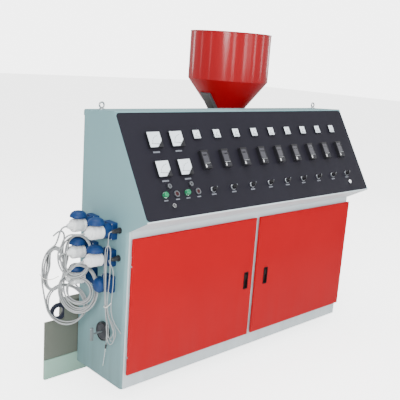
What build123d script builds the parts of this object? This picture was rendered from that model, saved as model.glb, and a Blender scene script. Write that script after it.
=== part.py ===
from build123d import *
from math import atan2, cos, degrees, hypot, pi, radians, sin, tan
import os

# Plastic extruder: a control cabinet with a sloping console stands against the machine's base
# frame, and the hopper rises behind it. Millimetres, X along the front, Y towards the back, Z up.
# Heights are above the floor. Depths are behind the cabinet's front face until a piece is written,
# when the origin moves to the underside of the base's plinth, in line with the left end wall.

# Cabinet
cabinet_length = 1730
cabinet_depth = 386
cabinet_bottom = 60
shoulder_height = 841
nose_overhang = 135
nose_rise = 73
console_top_set_back = 142
console_top_height = 1374
top_fall = 15
sheet = 2
fold_width = 26
front_corner_radius = 18
back_corner_radius = 8
top_corner_radius = 12
lip_radius = 5
nose_fold = 20
edge_fold = 30
eye_from_end = 50
eye_depth = 312
eye_outside = 34
eye_bar = 8
eye_collar = 26
eye_collar_height = 5

# Control panel and its instruments, placed from the console's lower edge
panel_end_margin = 3
panel_lip = 7
panel_top_lip = 8
panel_gap = 0.5
bearer_width = 20
hole_clearance = 0.5
large_meter = 80
large_meter_height = 15
large_meter_columns = (171, 306)
large_meter_shares = (0.453, 0.721)
large_meter_clip = 32
large_meter_body = 62
zone_count = 9
zone_first = 446
zone_end_margin = 168.8
zone_meter = 48
zone_meter_height = 9
zone_meter_share = 0.758
zone_meter_body = 38
meter_rim = 2
meter_body_depth = 45
dial_thickness = 1
dial_recess = 2
dial_gap = 0.2
case_corner = 2
large_case_corner = 4
dial_corner = 1
controller_width = 48
controller_tall = 96
controller_height = 22
controller_share = 0.503
controller_body_width = 44
controller_body_tall = 90
controller_body_depth = 60
display_width = 38
display_tall = 54
display_rise = 11
switch_share = 0.22
switch_ring = 30
switch_ring_height = 7
switch_neck = 22
switch_body_depth = 42
knob_diameter = 23
knob_height = 9
knob_grip_height = 14
knob_grip_width = 8
knob_grip_inset = 1
knob_turn = 45
switch_ring_edge = 2
start_columns = (142, 277)
stop_columns = (212, 346)
button_share = 0.222
start_diameter = 30
start_height = 20
stop_ring = 31
stop_ring_height = 7
stop_cap = 20
stop_cap_seat = 2
stop_cap_gap = 0.4
lamp_columns = (178, 312)
lamp_share = 0.294
lamp_diameter = 24
lamp_height = 12
lamp_body = 16
lock_from_end = (172, 170)
lock_share = 0.119189
lock_diameter = 22
lock_height = 12
lock_body = 16
lock_body_depth = 30

# Doors
door_margin = 20
door_end_margin = 8
door_gap = 30
door_bottom = 137
door_height = 674
door_depth = 12
door_stand_off = 8
door_edge_radius = 3
door_overlap = 18
opening_end_margin = 14
rebate_depth = 20
pull_width = 33
pull_tall = 98
pull_from_edge = (51, 80)
pull_middle = 465
pull_depth = 10
pull_flange = 2
pull_corner = 5
pull_gap = 0.2
hinge_from_end = 110
hinge_tall = 40
hinge_pin = 5
hinge_knuckle = 8
hinge_side_inset = 7
hinge_front_inset = 6.5
hinge_running_gap = 0.1
hinge_ear = 3
notch_clearance = 6
notch_lip = 1.5
hinge_end_gap = 0.5

# Hopper
hopper_from_right = 595
hopper_from_back = 174
hopper_diameter = 482
hopper_top = 1788
hopper_shoulder = 1511
hopper_outlet = 120
cone_half_angle = 37.5
hopper_sheet = 2
rim_bead = 6
flange_size = 190
flange_thickness = 12
sight_width = 80
sight_from_shoulder = 78
sight_above_outlet = 26.9805
sight_thickness = 7
sight_frame = 13
sight_recess = 2
sight_glass_gap = 0.3
feed_block_size = 200
feed_bore = 100
feed_bore_depth = 70

# Machine behind the cabinet
base_overrun = 185
side_plate_height = 307
side_plate_set_back = 5
side_plate_thickness = 10
plinth_height = 105
plinth_thickness = 15
beam_start = 60
beam_width = 60
beam_height = 300
base_depth = 430
pad_start = -78
pad_width = 50
pad_height = 93
pad_bottom = 240
lug_middle = -110
lug_diameter = 90
lug_hole = 52
lug_thickness = 12
lug_sink = 4
housing_start = 300
housing_top = 1130
housing_gap = 6

# Sockets, connectors and main switch on the left end wall
socket_column_first = 115
socket_column_pitch = 146
socket_row_top = 829
socket_row_pitch = 130
socket_columns = 2
socket_rows = 3
socket_flange = (70, 80)
socket_box_depth = 30
socket_corner = 5
socket_chamfer = 3
shroud_diameter = 70
shroud_bore = 64
shroud_depth = 36
lug_width = 26
lug_rise = 4
lug_length = 12
lid_diameter = 70
lid_height = 26
lid_wall = 3
lid_edge_round = 16
plug_nose = 62
plug_diameter = 70
plug_end = 130
plug_seat = 2
plug_round = 6
plug_collar = 3
gland_diameters = (50, 16)
gland_length = 26
empty_sockets = ((0, 2),)
connector_heights = (838, 705)
connector_depth = 60
connector_flange = 30
connector_flange_thickness = 5
connector_diameter = 22
connector_length = 27
wire_plug_diameter = 18
wire_plug_length = 18
main_switch_depth = 152
main_switch_height = 309
main_switch_diameter = 96
main_switch_rim = 18
main_switch_dish = 4
main_switch_edge = 9
main_switch_shaft = 8
main_switch_seat = 6
main_switch_gap = 0.3
main_switch_reach = 66
main_switch_grip = (14, 66, 12)

# Leads, hung up on the end wall. Their coils face the corner of the end wall and the front.
lead_diameter = 8
wire_diameter = 4
arc_share = 0.45
coil_heading = 44
coil_corners = 14
hank_top = (-58, 67, 772)
hank_width = 24
hank_thickness = 10
hank_waist = 16
hank_tie = 296
hank_length = 486
hank_loop = 32
hank_loop_shift = 44
hank_hook = 22
probe_tip = (-20, 123, 142)
sleeve_diameter = 9
sleeve_length = 26
probe_diameter = 3.5
# Coils: middle, half width, half height, lean in degrees, thickness of the bundle.
upper_coil = ((-122, 231, 689), 83, 104, 24, 22)
back_coil = ((-177, 351, 603), 54, 105, 0, 24)
hanging_coil = ((-114, 319, 416), 97, 102, 0, 18)
front_coil = ((-103, 228, 523), 98, 126, 0, 20)
small_coil = ((-118, 204, 524), 70, 66, 0, 16)
front_top_route = [
    (-156, 115, 829), (-177, 115, 829), (-196, 130, 828), (-200, 158, 821),
    (-194, 188, 808), (-184, 218, 793), (-176, 248, 774), (-168, 274, 755), (-160, 292, 735),
]
back_top_route = [
    (-156, 261, 829), (-173, 261, 829), (-184, 265, 817), (-187, 274, 796),
    (-184, 289, 769), (-180, 308, 743), (-177, 328, 722), (-181, 345, 709),
]
front_middle_route = [
    (-156, 115, 699), (-175, 115, 699), (-191, 124, 685), (-198, 142, 664), (-199, 165, 646),
    (-198, 188, 629), (-194, 211, 611), (-188, 233, 593), (-181, 256, 577), (-176, 276, 559),
    (-173, 290, 538),
]
back_middle_route = [(-156, 261, 699), (-172, 261, 699), (-184, 270, 691), (-188, 279, 677)]
back_low_route = [
    (-156, 261, 569), (-171, 261, 569), (-183, 257, 558), (-184, 254, 541), (-174, 253, 527),
]
lead_end_route = [
    (-66, 272, 490), (-84, 286, 521), (-103, 303, 554), (-119, 310, 590), (-131, 316, 626),
    (-137, 320, 660), (-137, 323, 693), (-132, 325, 725), (-129, 325, 752), (-133, 321, 775),
    (-146, 316, 790), (-165, 309, 796), (-186, 302, 791), (-206, 296, 781),
]
wire_top_route = [
    (-45, 60, 838), (-54, 60, 838), (-60, 61, 831), (-61, 62, 818), (-60, 64, 797), (-59, 66, 768),
]
wire_middle_route = [
    (-45, 60, 705), (-54, 60, 705), (-60, 55, 701), (-59, 47, 692), (-51, 40, 676),
    (-44, 38, 650), (-42, 38, 612), (-42, 40, 570), (-44, 42, 530), (-46, 43, 495),
    (-45, 43, 460), (-40, 40, 430), (-32, 33, 402), (-22, 19, 376), (-12, 2, 352),
]
wire_drop_route = [
    (-50, 68, 440), (-44, 75, 405), (-38, 82, 368), (-32, 88, 330), (-28, 93, 294), (-26, 97, 268),
]

loop_radius = hank_loop / 2
datum_depth = cabinet_depth + plinth_thickness / 2
nose_height = shoulder_height + nose_rise
back_top_height = console_top_height - top_fall
door_width = (cabinet_length - door_margin - door_gap - door_end_margin) / 2
hopper_x = cabinet_length - hopper_from_right
hopper_y = cabinet_depth + hopper_from_back
door_front = -door_stand_off - door_depth
door_starts = (door_margin, door_margin + door_width + door_gap)
door_ends = (door_starts[0] + door_width, door_starts[1] + door_width)
door_top = door_bottom + door_height
hinge_line_depth = door_front + hinge_front_inset
hinge_lines = (door_starts[0] + hinge_side_inset, door_ends[1] - hinge_side_inset)
hinge_heights = (door_bottom + hinge_from_end, door_top - hinge_from_end)
slope_run = console_top_set_back + nose_overhang
slope_rise = console_top_height - nose_height
slope_angle = degrees(atan2(slope_run, slope_rise))
slope_length = hypot(slope_run, slope_rise)
zone_pitch = (cabinet_length - zone_first - zone_end_margin) / (zone_count - 1)
zone_columns = [zone_first + zone_pitch * zone for zone in range(zone_count)]
large_meter_rows = [share * slope_length for share in large_meter_shares]
zone_meter_row = zone_meter_share * slope_length
controller_row = controller_share * slope_length
switch_row = switch_share * slope_length
lock_row = lock_share * slope_length
button_row = button_share * slope_length
lamp_row = lamp_share * slope_length
lock_columns = (lock_from_end[0], cabinet_length - lock_from_end[1])
eye_columns = (eye_from_end, cabinet_length - eye_from_end)
pull_places = (door_ends[0] - pull_from_edge[0], door_starts[1] + pull_from_edge[1])
# On the console, local X runs along the cabinet, local Y up the slope and local Z outwards.
console = Plane(
    origin=(0, -nose_overhang, nose_height),
    x_dir=(1, 0, 0),
    z_dir=(0, -cos(radians(slope_angle)), sin(radians(slope_angle))),
)
# On the end wall, local X runs towards the front, local Y up and local Z out of the wall.
end_face = Plane(origin=(0, 0, 0), x_dir=(0, -1, 0), z_dir=(-1, 0, 0))


def block(x, y, z):
    """Block between two places along each axis."""
    middle = Pos((x[0] + x[1]) / 2, (y[0] + y[1]) / 2, (z[0] + z[1]) / 2)
    return middle * Box(x[1] - x[0], y[1] - y[0], z[1] - z[0])


def standing(radius, height, base=0):
    """Cylinder that stands on local Z = base, or hangs below it where height is negative."""
    return Pos(0, 0, base + height / 2) * Cylinder(radius, abs(height))


def rounded(width, tall, height, radius, base=0):
    """Rounded rectangular block that stands on local Z = base."""
    return Pos(0, 0, base) * extrude(RectangleRounded(width, tall, radius), amount=height)


def write(name, shape):
    """Write one piece, with the origin moved to the underside of the plinth."""
    export_step(shape.moved(Location((0, -datum_depth, 0))), "parts/" + name + ".step")


def cabinet_outline():
    """Side view of the cabinet, rounded at its back top corner, its console lip and its nose."""
    face = make_face(
        Polyline(
            [
                (0, cabinet_bottom),
                (0, shoulder_height),
                (-nose_overhang, nose_height),
                (console_top_set_back, console_top_height),
                (cabinet_depth, back_top_height),
                (cabinet_depth, cabinet_bottom),
            ],
            close=True,
        )
    )
    back = face.vertices().filter_by_position(Axis.X, cabinet_depth - 1, cabinet_depth + 1)
    face = fillet(back.sort_by(Axis.Y)[-1], top_corner_radius)
    face = fillet(face.vertices().sort_by(Axis.X)[0], lip_radius)
    return fillet(face.vertices().sort_by(Axis.Y)[-1], lip_radius)


def along_cabinet(face, start, end):
    """Push a side view along the cabinet between two places."""
    return Pos(start, 0, 0) * extrude(Plane.YZ * face, amount=end - start)


def corner_fold(radius, low, high):
    """Upright quarter of bent sheet about the Z axis, on the -X, -Y side, between two heights."""
    ring = Circle(radius) - Circle(radius - sheet)
    quarter = ring & Pos(-radius / 2, -radius / 2) * Rectangle(radius, radius)
    return Pos(0, 0, low) * extrude(quarter, amount=high - low)


def end_wall():
    """Left end wall, folded round the front and back corners."""
    fold_top = back_top_height - edge_fold
    plate = along_cabinet(cabinet_outline(), 0, sheet)
    plate -= block((-1, sheet + 1), (-1, front_corner_radius), (cabinet_bottom - 1, shoulder_height))
    back_edge = cabinet_depth - back_corner_radius
    plate -= block((-1, sheet + 1), (back_edge, cabinet_depth + 1), (cabinet_bottom - 1, fold_top))
    front = Pos(front_corner_radius, front_corner_radius, 0) * corner_fold(
        front_corner_radius, cabinet_bottom, shoulder_height
    )
    front += block((front_corner_radius, fold_width), (0, sheet), (cabinet_bottom, shoulder_height))
    back = corner_fold(back_corner_radius, cabinet_bottom, fold_top)
    back = Pos(back_corner_radius, back_edge, 0) * mirror(back, about=Plane.XZ)
    back_strip = (cabinet_depth - sheet, cabinet_depth)
    back += block((back_corner_radius, fold_width), back_strip, (cabinet_bottom, fold_top))
    return plate + front + back


def mirrored(shape):
    """The same piece at the cabinet's other end."""
    return mirror(shape, about=Plane.YZ.offset(cabinet_length / 2))


def write_cabinet():
    """Folded sheet walls, and the front frame that the doors close on."""
    left = end_wall()
    write("end_wall_left", left)
    write("end_wall_right", mirrored(left))
    outline = cabinet_outline()
    inside = (sheet, cabinet_length - sheet)
    between_folds = (fold_width, cabinet_length - fold_width)
    skin = along_cabinet(outline - offset(outline, amount=-sheet), *inside)
    low_fold = cabinet_bottom + edge_fold
    high_fold = back_top_height - edge_fold
    behind = (cabinet_depth - back_corner_radius, cabinet_depth)
    corners = [
        block(side, behind, (cabinet_bottom, high_fold))
        for side in ((0, fold_width), (cabinet_length - fold_width, cabinet_length))
    ]
    front_square = (0, front_corner_radius)
    rounded_corner = block(front_square, front_square, (0, low_fold))
    rounded_corner -= Pos(front_corner_radius, front_corner_radius, 0) * Cylinder(
        front_corner_radius - sheet, 2 * low_fold
    )
    floor_space = block(inside, (sheet, cabinet_depth), (cabinet_bottom, low_fold))
    floor_plate = (skin & floor_space) - corners[0] - corners[1] - rounded_corner
    write("floor_plate", floor_plate - mirrored(rounded_corner))
    write("back_wall", skin & block(between_folds, behind, (low_fold, high_fold)))
    panel_space = console * block(
        (-1, cabinet_length + 1), (panel_lip, slope_length - panel_top_lip), (-sheet - 1, 1)
    )
    top_space = block(inside, (0, cabinet_depth), (high_fold, console_top_height))
    write("top_cover", (skin & top_space) - panel_space)
    nose_space = block(inside, (-nose_overhang, sheet + 1), (shoulder_height, nose_height + nose_fold))
    write("console_underside", (skin & nose_space) - panel_space)
    write("front_frame", front_frame())
    rim = console * block(inside, (panel_lip - 1, slope_length - panel_top_lip + 1), (-2 * sheet, -sheet))
    hollow = console * block(
        (sheet + bearer_width, cabinet_length - sheet - bearer_width),
        (panel_lip + bearer_width, slope_length - panel_top_lip - bearer_width),
        (-3 * sheet, 0),
    )
    write("console_bearers", rim - hollow)


def front_frame():
    """Front face of the lower cabinet, with a turned-in rim round each door opening."""
    frame = block(
        (fold_width, cabinet_length - fold_width), (0, sheet), (cabinet_bottom, shoulder_height)
    )
    low, high = door_bottom + door_overlap, door_top - door_overlap
    openings = (
        (fold_width + opening_end_margin, door_ends[0] - door_overlap),
        (door_starts[1] + door_overlap, cabinet_length - fold_width - opening_end_margin),
    )
    for start, end in openings:
        frame += block(
            (start - sheet, end + sheet), (sheet, rebate_depth), (low - sheet, high + sheet)
        )
        frame -= block((start, end), (-1, rebate_depth + 1), (low, high))
    return frame


def write_door(name, start, hinge_line, hinge_side, pull_x):
    """Door tray with its pull and hinge pins. hinge_side is -1 for the left edge, 1 for the right."""
    end = start + door_width
    back = -door_stand_off
    tray = block((start, end), (door_front, back), (door_bottom, door_top))
    rim = tray.faces().sort_by(Axis.Y)[0].edges()
    tray = fillet(rim, door_edge_radius)
    tray -= block(
        (start + sheet, end - sheet),
        (door_front + sheet, back + 1),
        (door_bottom + sheet, door_top - sheet),
    )
    hinge_edge = start if hinge_side < 0 else end
    for height in hinge_heights:
        half = hinge_tall / 2 + notch_clearance
        tray -= block(
            (hinge_edge - sheet - 1, hinge_edge + sheet + 1),
            (door_front + sheet + notch_lip, back + 1),
            (height - half, height + half),
        )
    face = Pos(pull_x, door_front, pull_middle) * Rot(90, 0, 0)
    inner_corner = pull_corner - pull_flange
    slot_size = (pull_width - 2 * pull_flange, pull_tall - 2 * pull_flange)
    tray -= face * rounded(*slot_size, 3 * sheet, inner_corner, -2 * sheet)
    write(name, tray)
    cup_size = (slot_size[0] - 2 * pull_gap, slot_size[1] - 2 * pull_gap)
    bore_size = (slot_size[0] - 2 * pull_flange, slot_size[1] - 2 * pull_flange)
    cup = rounded(pull_width, pull_tall, pull_flange, pull_corner)
    cup += rounded(*cup_size, pull_depth, inner_corner, -pull_depth)
    cup -= rounded(*bore_size, pull_depth + 1, inner_corner / 2, pull_flange - pull_depth)
    write(name.replace("door", "pull"), face * cup)
    pins = Part()
    for height in hinge_heights:
        pin = Pos(hinge_line, hinge_line_depth, height) * Cylinder(
            hinge_pin / 2, hinge_tall + 2 * (hinge_ear + hinge_end_gap)
        )
        for direction in (-1, 1):
            middle = height + direction * (hinge_tall / 2 + hinge_end_gap + hinge_ear / 2)
            ear = block(
                (hinge_line - hinge_pin / 2, hinge_line + hinge_pin / 2),
                (door_front + sheet, hinge_line_depth + hinge_pin / 2),
                (middle - hinge_ear / 2, middle + hinge_ear / 2),
            )
            pin += ear
        pins += pin
    write(name.replace("door", "hinge_pins"), pins)


def hinge_brackets():
    """Knuckles welded to the front frame, in which the door pins turn."""
    brackets = Part()
    for line, side in zip(hinge_lines, (-1, 1)):
        for height in hinge_heights:
            knuckle = Pos(line, hinge_line_depth, height) * Cylinder(hinge_knuckle / 2, hinge_tall)
            arm = block(
                sorted((line, line - side * hinge_knuckle / 2)),
                (hinge_line_depth, 0),
                (height - hinge_tall / 2, height + hinge_tall / 2),
            )
            bore = Pos(line, hinge_line_depth, height) * Cylinder(
                hinge_pin / 2 + hinge_running_gap, hinge_tall + 2
            )
            brackets += knuckle + arm - bore
    return brackets


def panel_cut(u, v, shape):
    """A hole through the control panel at one place."""
    return console * Pos(u, v, 0) * shape


def write_instruments():
    """Control panel with its cut-outs, and each kind of instrument seated in them."""
    panel = console * block(
        (panel_end_margin, cabinet_length - panel_end_margin),
        (panel_lip + panel_gap, slope_length - panel_top_lip - panel_gap),
        (-sheet, 0),
    )
    cases, dials = Part(), Part()
    large = [(u, v) for u in large_meter_columns for v in large_meter_rows]
    for u, v in large:
        case, dial = large_meter_parts()
        cases += console * Pos(u, v, 0) * case
        dials += console * Pos(u, v, 0) * dial
        panel -= panel_cut(u, v, Cylinder(large_meter_body / 2 + hole_clearance, 4 * sheet))
    for u in zone_columns:
        case, dial = zone_meter_parts()
        cases += console * Pos(u, zone_meter_row, 0) * case
        dials += console * Pos(u, zone_meter_row, 0) * dial
        panel -= panel_cut(
            u, zone_meter_row, Cylinder(zone_meter_body / 2 + hole_clearance, 4 * sheet)
        )
    write("meter_cases", cases)
    write("meter_dials", dials)
    controllers, displays = Part(), Part()
    knobs, rings = Part(), Part()
    for u in zone_columns:
        case, display = controller_parts()
        controllers += console * Pos(u, controller_row, 0) * case
        displays += console * Pos(u, controller_row, 0) * display
        panel -= panel_cut(
            u,
            controller_row,
            Box(
                controller_body_width + 2 * hole_clearance,
                controller_body_tall + 2 * hole_clearance,
                4 * sheet,
            ),
        )
        ring, knob = switch_parts()
        rings += console * Pos(u, switch_row, 0) * ring
        knobs += console * Pos(u, switch_row, 0) * knob
        panel -= panel_cut(u, switch_row, Cylinder(switch_neck / 2 + hole_clearance, 4 * sheet))
    write("controller_cases", controllers)
    write("controller_displays", displays)
    write("switch_knobs", knobs)
    starts, stops, stop_rings = Part(), Part(), Part()
    for u in start_columns:
        button = standing(start_diameter / 2, start_height) + standing(switch_neck / 2, -switch_body_depth)
        starts += console * Pos(u, button_row, 0) * button
        panel -= panel_cut(u, button_row, Cylinder(switch_neck / 2 + hole_clearance, 4 * sheet))
    for u in stop_columns:
        ring = standing(stop_ring / 2, stop_ring_height) + standing(switch_neck / 2, -switch_body_depth)
        ring -= standing(stop_cap / 2, stop_ring_height, stop_cap_seat)
        stop_rings += console * Pos(u, button_row, 0) * ring
        cap = standing(stop_cap / 2 - stop_cap_gap, stop_ring_height - stop_cap_seat - 1, stop_cap_seat)
        stops += console * Pos(u, button_row, 0) * cap
        panel -= panel_cut(u, button_row, Cylinder(switch_neck / 2 + hole_clearance, 4 * sheet))
    for u in lamp_columns:
        lamp = standing(lamp_diameter / 2, lamp_height) + standing(lamp_body / 2, -switch_body_depth)
        stop_rings += console * Pos(u, lamp_row, 0) * lamp
        panel -= panel_cut(u, lamp_row, Cylinder(lamp_body / 2 + hole_clearance, 4 * sheet))
    locks = Part()
    for u in lock_columns:
        lock = standing(lock_diameter / 2, lock_height) + standing(lock_body / 2, -lock_body_depth)
        locks += console * Pos(u, lock_row, 0) * lock
        panel -= panel_cut(u, lock_row, Cylinder(lock_body / 2 + hole_clearance, 4 * sheet))
    write("start_buttons", starts)
    write("stop_buttons", stops)
    write("switch_rings", rings + stop_rings)
    write("panel_locks", locks)
    write("control_panel", panel)


def large_meter_parts():
    """Square moving-coil meter whose dial is clipped at the needle's corner."""
    case = rounded(large_meter, large_meter, large_meter_height, large_case_corner)
    half = large_meter / 2 - meter_rim
    dial_face = make_face(
        Polyline(
            [
                (-half, -half),
                (half - large_meter_clip, -half),
                (half, large_meter_clip - half),
                (half, half),
                (-half, half),
            ],
            close=True,
        )
    )
    bottom = large_meter_height - dial_recess
    case -= Pos(0, 0, bottom) * extrude(dial_face, amount=dial_recess + 1)
    case += standing(large_meter_body / 2, -meter_body_depth)
    dial = Pos(0, 0, bottom) * extrude(offset(dial_face, amount=-dial_gap), amount=dial_thickness)
    return case, dial


def zone_meter_parts():
    """Small square meter of one heating zone."""
    case = rounded(zone_meter, zone_meter, zone_meter_height, case_corner)
    bottom = zone_meter_height - dial_recess
    inner = zone_meter - 2 * meter_rim
    case -= rounded(inner, inner, dial_recess + 1, dial_corner, bottom)
    case += standing(zone_meter_body / 2, -meter_body_depth)
    dial_side = inner - 2 * dial_gap
    return case, rounded(dial_side, dial_side, dial_thickness, dial_corner, bottom)


def controller_parts():
    """Temperature controller: tall case with a display window above its keys."""
    case = rounded(controller_width, controller_tall, controller_height, case_corner)
    window = Pos(0, display_rise, 0)
    bottom = controller_height - dial_recess
    case -= window * rounded(display_width, display_tall, dial_recess + 1, case_corner, bottom)
    case += Pos(0, 0, -controller_body_depth / 2) * Box(
        controller_body_width, controller_body_tall, controller_body_depth
    )
    glass_size = (display_width - 2 * dial_gap, display_tall - 2 * dial_gap)
    glass = window * rounded(*glass_size, dial_thickness, case_corner, bottom)
    return case, glass


def switch_parts():
    """Rotary switch: a bright ring on a threaded neck, and a knob with a raised grip."""
    ring = standing(switch_ring / 2, switch_ring_height)
    ring = chamfer(ring.edges().sort_by(Axis.Z)[-1], switch_ring_edge)
    ring += standing(switch_neck / 2, -switch_body_depth)
    knob = standing(knob_diameter / 2, knob_height, switch_ring_height)
    grip = Rot(0, 0, knob_turn) * Box(
        knob_diameter - 2 * knob_grip_inset, knob_grip_width, knob_grip_height
    )
    knob += Pos(0, 0, switch_ring_height + knob_height + knob_grip_height / 2) * grip
    return ring, knob


def write_hopper():
    """Sheet-metal hopper: a barrel on a cone that ends in a flange on the feed block."""
    radius = hopper_diameter / 2
    slope = tan(radians(cone_half_angle))
    drop = (radius - hopper_outlet / 2) / slope
    outlet_height = hopper_shoulder - drop
    centre = Pos(hopper_x, hopper_y, 0)
    barrel_height = hopper_top - hopper_shoulder
    middle = (hopper_top + hopper_shoulder) / 2
    bead = Pos(0, 0, hopper_top - rim_bead / 2) * Torus(radius, rim_bead / 2)
    barrel = Pos(0, 0, middle) * Cylinder(radius, barrel_height) + bead
    barrel -= Pos(0, 0, middle) * Cylinder(radius - hopper_sheet, barrel_height + rim_bead)
    write("hopper_barrel", centre * barrel)
    wall = hopper_sheet / cos(radians(cone_half_angle))
    outer_cone = Pos(0, 0, outlet_height + drop / 2) * Cone(hopper_outlet / 2, radius, drop)
    cone = outer_cone - Pos(0, 0, outlet_height + drop / 2) * Cone(
        hopper_outlet / 2 - wall, radius - wall, drop
    )
    flange = Pos(0, 0, outlet_height - flange_thickness / 2) * Box(
        flange_size, flange_size, flange_thickness
    )
    flange -= Pos(0, 0, outlet_height) * Cylinder(hopper_outlet / 2 - wall, 4 * flange_thickness)
    write("hopper_cone", centre * (cone + flange))
    block_top = outlet_height - flange_thickness
    feed = Pos(0, 0, (block_top + housing_top) / 2) * Box(
        feed_block_size, feed_block_size, block_top - housing_top
    )
    feed -= Pos(0, 0, block_top) * Cylinder(feed_bore / 2, 2 * feed_bore_depth)
    write("feed_block", centre * feed)
    # The sight glass lies along the cone on its left, facing the end of the cabinet.
    top = hopper_shoulder - sight_from_shoulder
    along = top - (outlet_height + sight_above_outlet)
    sight_length = along / cos(radians(cone_half_angle))
    sight_middle = top - along / 2
    reach = radius - (hopper_shoulder - sight_middle) * slope
    lean = radians(cone_half_angle)
    face = Plane(
        origin=(-reach, 0, sight_middle), x_dir=(0, -1, 0), z_dir=(-cos(lean), 0, -sin(lean))
    )
    plate = face * Box(sight_width, sight_length, 2 * sight_thickness) - outer_cone
    window = (sight_width - 2 * sight_frame, sight_length - 2 * sight_frame)
    plate -= face * Pos(0, 0, sight_thickness) * Box(*window, 2 * sight_recess)
    glass = face * Pos(0, 0, sight_thickness - sight_recess / 2) * Box(
        window[0] - sight_glass_gap, window[1] - sight_glass_gap, sight_recess / 2
    )
    write("sight_frame", centre * plate)
    write("sight_glass", centre * glass)


def write_machine():
    """Base frame of box beams behind a side plate on a plinth, and the closed housing on it."""
    start, end = -base_overrun, cabinet_length
    plinth_back = cabinet_depth + plinth_thickness
    plate_front = cabinet_depth + side_plate_set_back
    plate_back = plate_front + side_plate_thickness
    base_back = cabinet_depth + base_depth
    write("base_plinth", block((start, end), (cabinet_depth, plinth_back), (0, plinth_height)))
    plate_heights = (plinth_height, side_plate_height)
    write("base_side_plate", block((start, end), (plate_front, plate_back), plate_heights))
    front = (plinth_back, plinth_back + beam_width)
    back = (base_back - beam_width, base_back)
    frame = block((beam_start, end), front, (0, beam_height))
    frame += block((housing_start, end), back, (0, beam_height))
    for x in (housing_start, (housing_start + end - beam_width) / 2, end - beam_width):
        frame += block((x, x + beam_width), (front[1], back[0]), (0, beam_height))
    write("base_frame", frame)
    pad_top = side_plate_height + pad_height
    pad_back = plate_front + pad_width
    pad = block((pad_start, beam_start), (plate_front, pad_back), (side_plate_height, pad_top))
    pad += block((pad_start, beam_start), (plate_back, pad_back), (pad_bottom, pad_top))
    write("base_pad", pad)
    middle = side_plate_height + lug_diameter / 2 - lug_sink
    lug = Pos(lug_middle, plate_front + lug_thickness / 2, middle) * Rot(90, 0, 0) * (
        Cylinder(lug_diameter / 2, lug_thickness) - Cylinder(lug_hole / 2, 2 * lug_thickness)
    )
    lug -= block((start, end), (0, base_back), (0, side_plate_height))
    write("base_lug", lug - pad)
    housing = block(
        (housing_start, cabinet_length), (cabinet_depth + housing_gap, base_back), (beam_height, housing_top)
    )
    housing -= block((start, end), (0, plate_back), (0, side_plate_height))
    write("machine_housing", housing)


def socket_places():
    """Place of each power socket on the end wall, with its column and row."""
    places = []
    for column in range(socket_columns):
        for row in range(socket_rows):
            depth = socket_column_first + socket_column_pitch * column
            height = socket_row_top - socket_row_pitch * row
            places.append((column, row, end_face * Pos(-depth, height, 0)))
    return places


def socket_body():
    """Flanged body with a round shroud, bored for the plug, and a hinge lug above the bore."""
    body = rounded(*socket_flange, socket_box_depth, socket_corner)
    body = chamfer(body.edges().group_by(Axis.Z)[-1], socket_chamfer)
    body += standing(shroud_diameter / 2, shroud_depth, socket_box_depth)
    lug_end = socket_box_depth + shroud_depth
    body += block(
        (-lug_width / 2, lug_width / 2),
        (0, shroud_diameter / 2 + lug_rise),
        (lug_end - lug_length, lug_end),
    )
    return body - standing(shroud_bore / 2, shroud_depth, socket_box_depth)


def socket_lid():
    """Domed round lid, open below."""
    lid = standing(lid_diameter / 2, lid_height)
    lid = fillet(lid.edges().sort_by(Axis.Z)[-1], lid_edge_round)
    return lid - standing(lid_diameter / 2 - lid_wall, lid_height - lid_edge_round)


def power_plug():
    """Straight plug: its nose sits in the shroud, and its back tapers to the lead."""
    seat = socket_box_depth + plug_seat
    mouth = socket_box_depth + shroud_depth
    plug = standing(plug_diameter / 2, plug_end - mouth, mouth)
    plug = fillet(plug.edges().sort_by(Axis.Z)[-1], plug_round)
    plug += standing(plug_nose / 2, mouth - seat, seat)
    gland = Cone(gland_diameters[0] / 2, gland_diameters[1] / 2, gland_length)
    return plug + Pos(0, 0, plug_end + gland_length / 2) * gland


def write_end_wall_fittings():
    """Power sockets, sensor connectors and the main switch on the left end wall."""
    bodies, lids, plugs = Part(), Part(), Part()
    mouth = socket_box_depth + shroud_depth
    for column, row, place in socket_places():
        bodies += place * socket_body()
        if (column, row) in empty_sockets:
            lids += place * Pos(0, 0, mouth) * socket_lid()
            continue
        # A raised lid lies over its plug, on the hinge lug at the top of the shroud.
        lid_centre = Pos(0, shroud_diameter / 2 + lug_rise, mouth + lid_diameter / 2 - lug_length)
        lids += place * lid_centre * Rot(-90, 0, 0) * socket_lid()
        plugs += place * power_plug()
    write("socket_bodies", bodies)
    write("socket_lids", lids)
    write("power_plugs", plugs)
    connectors, wire_plugs = Part(), Part()
    for height in connector_heights:
        place = end_face * Pos(-connector_depth, height, 0)
        connector = standing(connector_flange / 2, connector_flange_thickness)
        connector += standing(connector_diameter / 2, connector_length)
        connectors += place * connector
        wire_plug = standing(wire_plug_diameter / 2, wire_plug_length, connector_length)
        wire_plug = chamfer(wire_plug.edges().sort_by(Axis.Z)[-1], wire_plug_diameter / 6)
        wire_plugs += place * wire_plug
    write("sensor_sockets", connectors)
    write("sensor_plugs", wire_plugs)
    place = end_face * Pos(-main_switch_depth, main_switch_height, 0)
    base = standing(main_switch_diameter / 2, main_switch_rim)
    base = fillet(base.edges().sort_by(Axis.Z)[-1], main_switch_edge / 3)
    floor = main_switch_rim - main_switch_dish
    base -= standing(main_switch_diameter / 2 - main_switch_edge, main_switch_rim, floor)
    seat = floor - main_switch_seat
    base -= standing(main_switch_shaft / 2 + main_switch_gap, main_switch_rim, seat - main_switch_gap)
    write("main_switch_base", place * base)
    width, tall, thick = main_switch_grip
    handle = standing(main_switch_shaft / 2, main_switch_reach - seat, seat)
    handle += rounded(width, tall, thick, width / 3, main_switch_reach)
    write("main_switch_handle", place * handle)


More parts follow.
